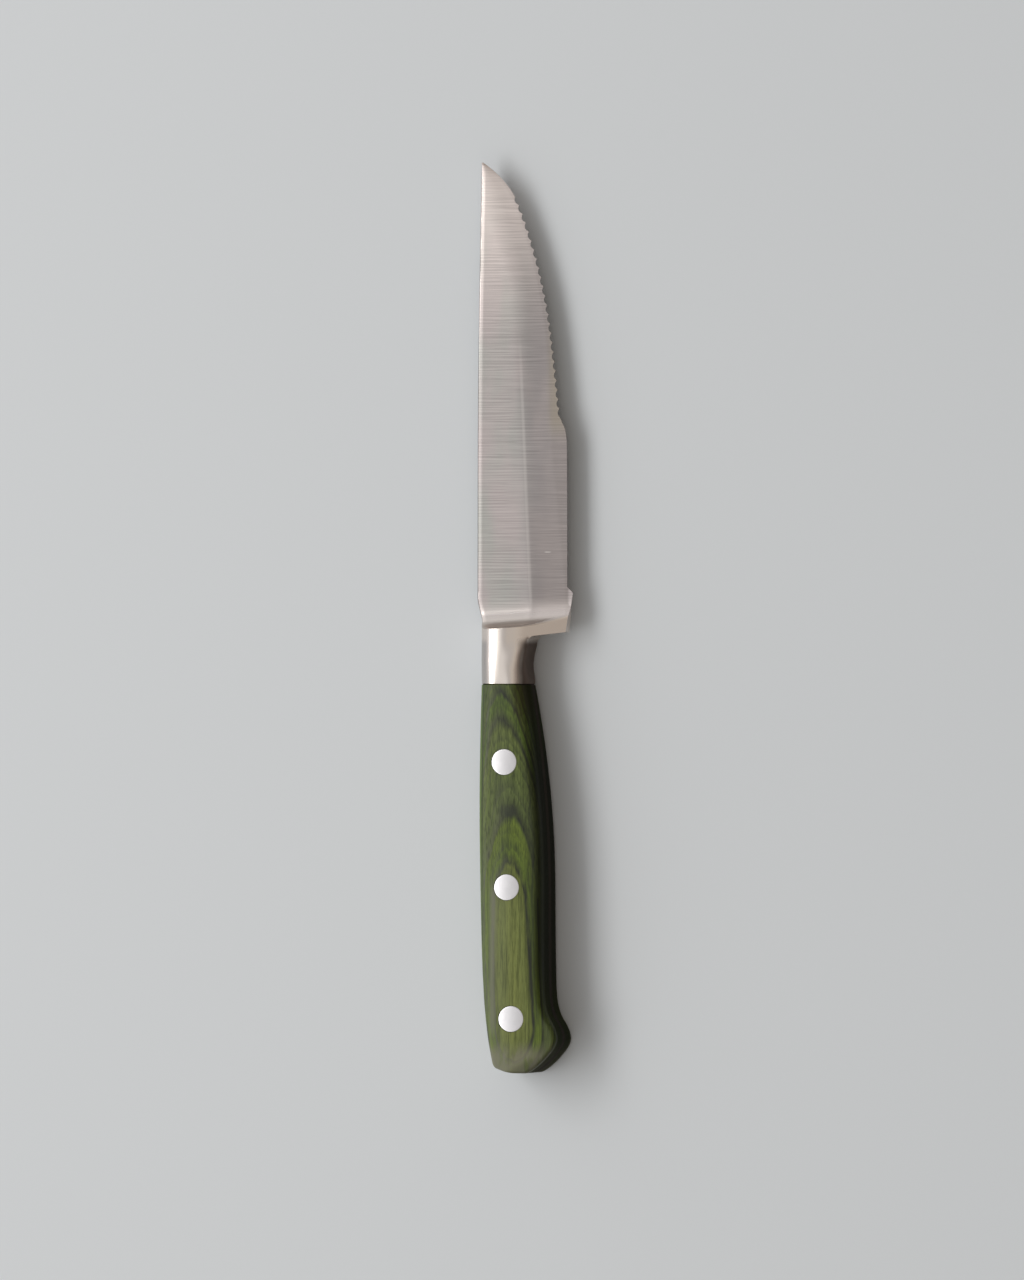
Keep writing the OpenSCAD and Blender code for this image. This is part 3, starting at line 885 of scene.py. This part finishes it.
def blade_steel():
    """Steel that is brushed across the blade and polished in the cove and on the neck."""
    steel = Finish("blade_steel")
    from_cove = steel.line(steel.x, -COVE_SLANT / HEEL_X, steel.y)
    brushed = steel.rising(from_cove, COVE_Y - 4.2, COVE_Y + 1.8)
    wobble = steel.noise((0.05, 0.6, 0.2), detail=1.0)
    turns = steel.times(steel.y, 2 * math.pi / BRUSH_PITCH)
    wave = steel.calc("SINE", steel.line(wobble, 9.0, turns))
    patches = steel.rising(steel.noise((0.09, 0.12, 0.1)), 0.36, 0.6)
    streaks = steel.noise((0.06, 2.8, 0.2), detail=3.0, roughness=0.6)
    lines = steel.line(steel.times(wave, patches), 0.16, streaks)

    on_neck = steel.falling(steel.y, 108.0, 110.2)
    # Painted shade: the spine side of the neck is painted darker
    painted_light_at_back = steel.times(steel.falling(steel.x, 3.2, 4.7, 0.8), on_neck)
    # Painted shade: the belly side of the neck is painted dark, and made rougher
    on_shaded_side = steel.times(
        steel.falling(steel.z, 4.4, 6.0), steel.rising(steel.x, 11.0, 12.5), on_neck
    )
    # Painted light: the cove is painted darker towards the spine and nearly white towards the edge
    cove = steel.mix(steel.rising(steel.x, 12, 17), STEEL["shaded back of the cove"], STEEL["cove"])
    in_cove = steel.rising(from_cove, COVE_Y - 5.0, COVE_Y - 3.0)
    polished = steel.mix(in_cove, STEEL["neck"], cove)
    polished = steel.mix(on_shaded_side, polished, STEEL["side of the neck"])
    polished = steel.mix(painted_light_at_back, polished, STEEL["back of the neck"])

    colour = steel.mix(brushed, polished, brushed_tone(steel, lines))
    # Painted shade in the crease of the cove
    colour = steel.mix(crease_shade(steel), colour, STEEL["crease"])
    # Painted shade: the tang's edge between the scales is painted dark, and made rougher
    on_tang = steel.falling(steel.y, HANDLE_LENGTH - 0.2, HANDLE_LENGTH)
    dull_and_shaded = steel.times(on_tang, steel.rising(steel.x, 4, 15))
    colour = steel.mix(dull_and_shaded, colour, STEEL["tang"])

    fine = steel.noise((0.2, 9.0, 0.5))
    normal = steel.bump(steel.times(steel.line(fine, 0.3, lines), brushed), 0.008, 0.5)
    roughness = steel.plus(
        steel.times(steel.line(lines, 0.1, BRUSHED_ROUGHNESS), brushed),
        steel.line(brushed, -POLISHED_ROUGHNESS, POLISHED_ROUGHNESS),
    )
    roughness = steel.line(on_shaded_side, 0.3, roughness)
    roughness = steel.line(dull_and_shaded, 0.65, roughness)
    return steel.surface(Base_Color=colour, Metallic=1.0, Roughness=roughness, Normal=normal)


def rivet_steel():
    """Nearly white satin metal with fine marks of the belt that ground it flush."""
    metal = Finish("rivet_metal")
    marks = metal.noise((7.0, 0.4, 0.5), detail=3.0)
    cloud = metal.noise((0.5, 0.5, 0.5))
    tone = metal.mix(cloud, srgb(222, 220, 222), srgb(234, 232, 233))
    normal = metal.bump(marks, 0.01, 0.4)
    roughness = metal.line(marks, 0.1, 0.25)
    return metal.surface(Base_Color=tone, Metallic=1.0, Roughness=roughness, Normal=normal)


# Layers of the laminated wood, by the place along the knife where each comes up to the face. The
# dark lines are given as (place, half width, strength), the tints between them as (place, colour)
WOOD_LINES = (
    (48.0, 0.4, 0.3),
    (51.8, 1.1, 0.95),
    (56.0, 0.5, 0.5),
    (60.6, 0.4, 0.3),
    (64.8, 2.1, 1.0),
    (71.0, 0.5, 0.5),
    (76.0, 0.5, 0.3),
    (81.0, 0.6, 0.45),
    (84.6, 0.6, 0.45),
    (88.8, 2.3, 1.0),
    (92.6, 0.4, 0.4),
    (95.4, 1.4, 1.0),
    (99.5, 0.6, 0.7),
    (104.5, 0.8, 0.9),
    (110.0, 0.7, 0.8),
)
WOOD_TINTS = (
    (38, (121, 128, 68)),
    (46, (115, 123, 66)),
    (50, (108, 117, 54)),
    (55, (98, 116, 38)),
    (62, (100, 116, 38)),
    (69, (96, 109, 60)),
    (78, (102, 116, 60)),
    (88, (102, 114, 58)),
    (93, (88, 108, 38)),
    (98, (94, 107, 52)),
    (106, (74, 94, 30)),
    (116, (62, 80, 26)),
)
WOOD_START = 36.0
WOOD_SPAN = 84.0

# How the layers run: they are squeezed behind EASE_Y and turn up again behind BUTT_BEND_Y
EASE_Y = 50.0
EASE = 0.08
BUTT_BEND_Y = 12.0
BUTT_BEND = 0.16
LAYER_DIP = 4.5
WARP_LENGTH = 7.0
RIPPLE_LENGTH = 4.2

# Marks on the wood: a painted highlight on the rim by the back, the blotch before the middle rivet
# with its reach either way, the bold part of the second dark line and the grey stripe along the
# back
RIM_WIDTH = 0.85
RIM_TURN = 2.0
BLOTCH_AT = (10.2, 66.2)
BLOTCH_REACH = (2.4, 1.6)
BOLD_HALF = 2.6
STRIPE_X = 5.9
STRIPE_WANDER = 3.0
BELLY_SHADE_WIDTH = 5.0
BELLY_STOPS = 25
WOOD = {
    "lines by the back": srgb(84, 87, 68),
    "lines": srgb(32, 36, 22),
    "rim": srgb(104, 132, 56),
    "line of the rim": srgb(40, 52, 26),
    "blotch": srgb(38, 42, 32),
    "bold line": srgb(34, 38, 26),
    "stripe": srgb(117, 117, 100),
    "shade by the neck": srgb(58, 49, 22),
    "butt": srgb(124, 122, 102),
    "painted sheen": srgb(235, 245, 235),
    "shaded side wall": srgb(20, 24, 10),
}
FIBRE_SHADES = (
    (0.34, srgb(180, 184, 152)),
    (0.5, srgb(236, 238, 222)),
    (0.64, srgb(255, 255, 242)),
)
PORE_SHADES = ((0.36, srgb(184, 187, 166)), (0.52, WHITE))
BELLY_SHADES = (
    (0.0, srgb(92, 93, 76)),
    (0.2, srgb(116, 117, 96)),
    (0.48, srgb(166, 167, 142)),
    (0.7, srgb(220, 221, 206)),
    (1.0, WHITE),
)


def from_belly(wood):
    """How far a place of the wood is from the belly side of the handle, across the knife."""
    belly = HANDLE_CURVE[HANDLE_CURVE[:, 0] > BUTT_CENTRE[0]]
    full_x = 30.0
    stops = [
        (y / HANDLE_LENGTH, grey(across(belly, y) / full_x))
        for y in np.linspace(0, HANDLE_LENGTH, BELLY_STOPS)
    ]
    side = wood.ramp(wood.times(wood.y, 1 / HANDLE_LENGTH), stops)
    return wood.line(wood.x, -1.0, wood.times(side, full_x))


def layer_share(at):
    """A place along WOOD_SPAN as a share of it."""
    return (at - WOOD_START) / WOOD_SPAN


def layer_place(wood, offset, depth, warp, ripple):
    """Which of the dished layers is at a place, as a share of WOOD_SPAN."""
    back_steepness = wood.step(wood.y, 26, 62, 0.47, 0.38)
    belly_steepness = wood.step(wood.y, 20, 66, 0.42, 0.24)
    change = wood.minus(belly_steepness, back_steepness)
    steepness = wood.line(change, wood.rising(offset, -1.5, 1.5), back_steepness)
    arch = wood.times(offset, offset, steepness)
    behind = wood.under(wood.y, EASE_Y)
    eased = wood.calc("DIVIDE", behind, wood.line(behind, EASE, 1.0))
    along_y = wood.minus(wood.calc("MAXIMUM", wood.y, EASE_Y), eased)
    rear = wood.under(wood.y, BUTT_BEND_Y)
    along_y = wood.plus(along_y, wood.times(rear, rear, BUTT_BEND))
    layer = wood.line(depth, LAYER_DIP, wood.plus(along_y, arch))
    layer = wood.line(wood.minus(warp, 0.5), WARP_LENGTH, layer)
    layer = wood.line(wood.minus(ripple, 0.5), RIPPLE_LENGTH, layer)
    return wood.line(layer, 1 / WOOD_SPAN, layer_share(0))


def line_strengths():
    """Stops of a ramp that rises to its strength at each of the dark lines."""
    stops = []
    for at, half, strength in WOOD_LINES:
        stops.append((layer_share(at) - half / WOOD_SPAN, grey(0)))
        stops.append((layer_share(at), grey(strength)))
    return stops + [(1.0, grey(0))]


def blotch_share(wood, ripple):
    """A blotch with a frayed outline round BLOTCH_AT."""
    x, y = [
        wood.line(value, 1 / reach, -at / reach)
        for value, reach, at in zip((wood.x, wood.y), BLOTCH_REACH, BLOTCH_AT)
    ]
    far = wood.line(x, x, wood.times(y, y))
    return wood.falling(wood.line(ripple, 2.4, wood.plus(far, -1.2)), 0.0, 1.6, 0.62)


def bold_share(wood, place, offset, gaps):
    """The belly half of the second dark line, which is bolder than the others."""
    at, half = layer_share(WOOD_LINES[1][0]), BOLD_HALF / WOOD_SPAN
    bold = wood.ramp(place, [(at - half, grey(0)), (at, WHITE), (at + half, grey(0))])
    bold = wood.times(bold, wood.rising(offset, 2.5, 4.0), wood.falling(wood.y, 42, 50, 0.9))
    return wood.times(bold, wood.line(gaps, 0.4, 0.6))


def stripe_share(wood, warp):
    """A stripe along the back of the rear half that wanders a little."""
    stripe_x = wood.line(warp, STRIPE_WANDER, STRIPE_X - STRIPE_WANDER / 2)
    return wood.times(
        wood.falling(wood.off(wood.x, stripe_x), 0.0, 1.5, 0.7),
        wood.falling(wood.y, 44, 51),
        wood.rising(wood.y, 7, 14),
    )


def laminated_wood():
    """Green laminated wood: slightly dished layers whose edges come up as nested arches."""
    wood = Finish("laminated_wood")
    warp = wood.noise((0.13, 0.03, 0.3))
    ripple = wood.noise((0.85, 0.1, 0.85), detail=3.0, roughness=0.65)
    fibre = wood.noise((1.5, 0.06, 1.5), detail=3.0, roughness=0.65)
    pores = wood.noise((3.8, 0.5, 3.8), detail=3.0)
    gaps = wood.rising(wood.noise((0.5, 0.12, 0.5)), 0.3, 0.55)
    middle = wood.plus(wood.step(wood.y, 60, 96, 9.9, 7.8), wood.falling(wood.y, 8, 52, 1.8))
    offset = wood.minus(wood.x, middle)
    depth = wood.minus(wood.line(wood.y, -FACE_SLOPE, face_z(0)), wood.z)
    place = layer_place(wood, offset, depth, warp, ripple)
    on_face = wood.falling(depth, 2.0, 3.2)

    tint = wood.ramp(place, [(layer_share(at), srgb(*rgb)) for at, rgb in WOOD_TINTS], "EASE")
    colour = wood.shaded(tint, wood.ramp(fibre, FIBRE_SHADES))
    by_back = wood.rising(offset, -4.5, 1.0)
    line_colour = wood.mix(by_back, WOOD["lines by the back"], WOOD["lines"])
    broken = wood.calc("MAXIMUM", gaps, wood.step(wood.y, 50, 62, 0.4, 0.85))
    on_lines = wood.times(wood.ramp(place, line_strengths()), broken)
    colour = wood.mix(on_lines, colour, line_colour)
    pore_share = wood.step(wood.y, 44, 56, 0.4, 0.85)
    colour = wood.shaded(colour, wood.ramp(pores, PORE_SHADES), pore_share)

    rim_x = BACK_INSET + RIM_WIDTH
    from_rim = wood.minus(wood.x, wood.step(wood.y, 4, 24, rim_x + RIM_TURN, rim_x))
    rim_line = wood.falling(wood.calc("ABSOLUTE", from_rim), 0.08, 0.42, 0.6)
    # Painted shade: the belly side by the neck, where the scale rounds off, is painted dark brown
    shade_near_neck = wood.times(wood.rising(wood.y, 84, 97, 0.6), wood.rising(offset, 1.5, 5.5))
    # Painted sheen: a pale haze over the face by the back
    painted_light_at_back = wood.times(
        wood.falling(wood.x, 8.0, 12.0), wood.step(wood.y, 48, 60, 0.03, 0.014)
    )
    for share, tone in (
        # Painted highlight on the rim by the back
        (wood.times(wood.falling(from_rim, -0.5, -0.1, 0.4), on_face), "rim"),
        (wood.times(rim_line, wood.times(gaps, on_face)), "line of the rim"),
        (wood.times(blotch_share(wood, ripple), on_face), "blotch"),
        (bold_share(wood, place, offset, gaps), "bold line"),
        (stripe_share(wood, warp), "stripe"),
        (shade_near_neck, "shade by the neck"),
        (wood.times(wood.falling(wood.y, 4.0, 9.0, 0.75), broken), "butt"),
        (painted_light_at_back, "painted sheen"),
    ):
        colour = wood.mix(share, colour, WOOD[tone])

    # Painted shade: the wood is darkened towards the belly side, where the face rounds away from
    # the light
    belly_shade = wood.ramp(wood.times(from_belly(wood), 1 / BELLY_SHADE_WIDTH), BELLY_SHADES)
    shade_share = wood.times(
        wood.step(wood.y, 74, 90, 1.0, 0.3), wood.step(wood.y, 10, 30, 0.5, 1.0)
    )
    colour = wood.shaded(colour, belly_shade, shade_share)
    # Painted shade: the belly-side wall of the scale is painted nearly black, and made rougher
    in_shaded_wall = wood.times(wood.rising(depth, 0.9, 2.8), wood.rising(offset, 0.0, 4.0))
    colour = wood.mix(wood.times(in_shaded_wall, 0.6), colour, WOOD["shaded side wall"])
    normal = wood.bump(wood.line(pores, 0.5, fibre), 0.02, 0.35)
    roughness = wood.line(in_shaded_wall, 0.5, wood.line(fibre, 0.18, 0.4))
    return wood.surface(
        Base_Color=colour, Roughness=roughness, Normal=normal, Specular_IOR_Level=0.28
    )


def dress(piece, material, slot, *nodes):
    """Gives a piece its material and sets it in the place of the nodes of the frame."""
    piece.data.materials.clear()
    piece.data.materials.append(material)
    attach(piece, "root")
    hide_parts(*nodes)


def build_knife():
    """Makes the nine pieces, each in the place of one node of the frame."""
    steel = blade_steel()
    wood = laminated_wood()
    metal = rivet_steel()

    tang_gap = 0.02
    tang_rings = [
        outline_ring(tang_gap, -TANG_HALF),
        outline_ring(0, tang_gap - TANG_HALF),
        outline_ring(0, TANG_HALF - tang_gap),
        outline_ring(tang_gap, TANG_HALF),
    ]
    tang = mesh_object("tang", *stacked(tang_rings))
    radius = SLEEVE_RADIUS + HEAD_PLAY
    reach = 2.0
    profile = [(0, -reach), (radius, -reach), (radius, reach), (0, reach)]
    shanks = [
        mesh_object(f"shank_{which}", *lathed(profile, rivet_centre(which))) for which in RIVET_YS
    ]
    cut(tang, shanks)

    blade = mesh_object("forged_blade", *forged_blade(), sharp_degrees=24)
    joined = bmesh.new()
    joined.from_mesh(blade.data)
    joined.from_mesh(tang.data)
    joined.to_mesh(blade.data)
    joined.free()
    bpy.data.objects.remove(tang)
    dress(blade, steel, "steel", "blade")

    for side, name in ((1, "upper"), (-1, "lower")):
        scale = mesh_object(f"{name}_wood", *scale_solid(side))
        cut(scale, [hole_cutter(which, side) for which in RIVET_YS])
        dress(scale, wood, "dyed_wood", f"{name}_scale")

    for which in RIVET_YS:
        sleeve = mesh_object(f"{which}_sleeve", *rivet_solid(which, 1, True))
        dress(sleeve, metal, "rivet_steel", f"{which}_rivet_sleeve")
        pin = mesh_object(f"{which}_pin", *rivet_solid(which, -1, False))
        dress(pin, metal, "rivet_steel", f"{which}_rivet_pin")


# The camera looks down on the plane of the blade, tilted towards the edge side. The photo is 1024
# by 1280 pixels, and its middle lies over VIEW_MIDDLE on that plane
VIEW_TILT = math.radians(17)
VIEW_DISTANCE = 4.0
VIEW_MIDDLE = (8.9, 109.3, 0)
PHOTO_HEIGHT = 1280
PHOTO_WIDTH = 1024
MM_PER_PIXEL = 0.2527
SENSOR_HEIGHT = 24


def set_camera():
    """A long lens at the photo's angle."""
    camera = bpy.data.cameras.new("photo_camera")
    camera.sensor_fit = "VERTICAL"
    camera.sensor_height = SENSOR_HEIGHT
    camera.sensor_width = SENSOR_HEIGHT * PHOTO_WIDTH / PHOTO_HEIGHT
    camera.lens = SENSOR_HEIGHT * VIEW_DISTANCE / (PHOTO_HEIGHT * MM_PER_PIXEL * MM)
    camera.clip_start = 0.01
    camera.clip_end = 50
    stand = bpy.data.objects.new("photo_camera", camera)
    bpy.context.scene.collection.objects.link(stand)
    middle, backward, upward = laid_down(
        [
            VIEW_MIDDLE,
            np.add(VIEW_MIDDLE, (math.sin(VIEW_TILT), 0, math.cos(VIEW_TILT))),
            np.add(VIEW_MIDDLE, (0, 1, 0)),
        ]
    )
    target = Vector(middle)
    back = Vector(backward - middle).normalized()
    up = Vector(upward - middle).normalized()
    turned = Matrix((up.cross(back), up, back)).transposed().to_4x4()
    stand.matrix_world = Matrix.Translation(target + back * VIEW_DISTANCE) @ turned
    bpy.context.scene.camera = stand


FLOOR_SIZE = 8.0
FLOOR_DROP = 0.02
FLOOR_DARKENS = (-0.03, 0.02)
FLOOR_TONE = srgb(214, 218, 221)
SCATTERED_LEFT = srgb(150, 152, 155)
SCATTERED_RIGHT = srgb(26, 26, 27)


def add_floor():
    """A plain pale floor. Only the light that it scatters is darker, most so on the right, as the
    photo's shaded side is nearly black."""
    corner = FLOOR_SIZE / 2
    level = -FLOOR_DROP * MM
    mesh = bpy.data.meshes.new("floor")
    corners = [(-corner, -corner), (corner, -corner), (corner, corner), (-corner, corner)]
    mesh.from_pydata([(x, y, level) for x, y in corners], [], [(0, 1, 2, 3)])
    floor = bpy.data.objects.new("floor", mesh)
    bpy.context.scene.collection.objects.link(floor)
    paint = Nodes(bpy.data.materials.new("pale_floor"))
    to_right = paint.spread(paint.places("Object")["X"], *FLOOR_DARKENS)
    scattered = paint.mix(to_right, SCATTERED_LEFT, SCATTERED_RIGHT)
    rays = paint.node("ShaderNodeLightPath").outputs
    seen = rays["Is Camera Ray"]
    for kind in ("Is Glossy Ray", "Is Transmission Ray"):
        seen = paint.calc("MAXIMUM", seen, rays[kind])
    colour = paint.mix(seen, scattered, FLOOR_TONE)
    mesh.materials.append(
        paint.surface(Base_Color=colour, Roughness=0.9, Specular_IOR_Level=0.1)
    )


def add_lamp(name, place, power, width, length, colour):
    """A rectangular light that faces the origin."""
    lamp = bpy.data.lights.new(name, "AREA")
    lamp.shape = "RECTANGLE"
    lamp.size = width
    lamp.size_y = length
    lamp.energy = power
    lamp.color = colour
    stand = bpy.data.objects.new(name, lamp)
    bpy.context.scene.collection.objects.link(stand)
    back = Vector(place).normalized()
    side = Vector((0, 1, 0)).cross(back).normalized()
    turned = Matrix((side, back.cross(side), back)).transposed().to_4x4()
    stand.matrix_world = Matrix.Translation(Vector(place)) @ turned


# The sky from the left, over the top, to the right
SKY_STRENGTH = 1.25
SKY_STOPS = (
    (0.0, (0.45, 0.46, 0.47, 1)),
    (0.08, (0.45, 0.45, 0.46, 1)),
    (0.16, (0.8, 0.8, 0.8, 1)),
    (0.28, (0.9, 0.9, 0.9, 1)),
    (0.35, (0.44, 0.44, 0.44, 1)),
    (0.405, (0.345, 0.345, 0.345, 1)),
    (0.5, (0.39, 0.38, 0.37, 1)),
    (0.605, (0.5, 0.47, 0.42, 1)),
    (0.66, (0.4, 0.365, 0.33, 1)),
    (0.74, (0.27, 0.24, 0.215, 1)),
    (0.82, (0.17, 0.145, 0.125, 1)),
    (0.9, (0.11, 0.095, 0.085, 1)),
    (0.95, (0.09, 0.08, 0.074, 1)),
    (1.0, (0.09, 0.085, 0.08, 1)),
)


def add_light():
    """A large soft window on the left and a plain sky that darkens towards the right."""
    window_angle = math.radians(41)
    window_distance = 1.4
    add_lamp(
        "window",
        (-math.sin(window_angle) * window_distance, 0.1, math.cos(window_angle) * window_distance),
        power=9.2,
        width=0.55,
        length=1.8,
        colour=(1.0, 0.985, 0.97),
    )
    world = bpy.data.worlds.new("plain_sky")
    sky = Nodes(world)
    to_right = sky.spread(sky.places("Generated")["X"], -1, 1)
    background = sky.tree.nodes["Background"]
    sky.feed(sky.ramp(to_right, SKY_STOPS), background.inputs["Color"])
    sky.feed(SKY_STRENGTH, background.inputs["Strength"])
    bpy.context.scene.world = world


build_knife()
add_floor()
add_light()
set_camera()
bpy.context.scene.view_settings.view_transform = "Standard"
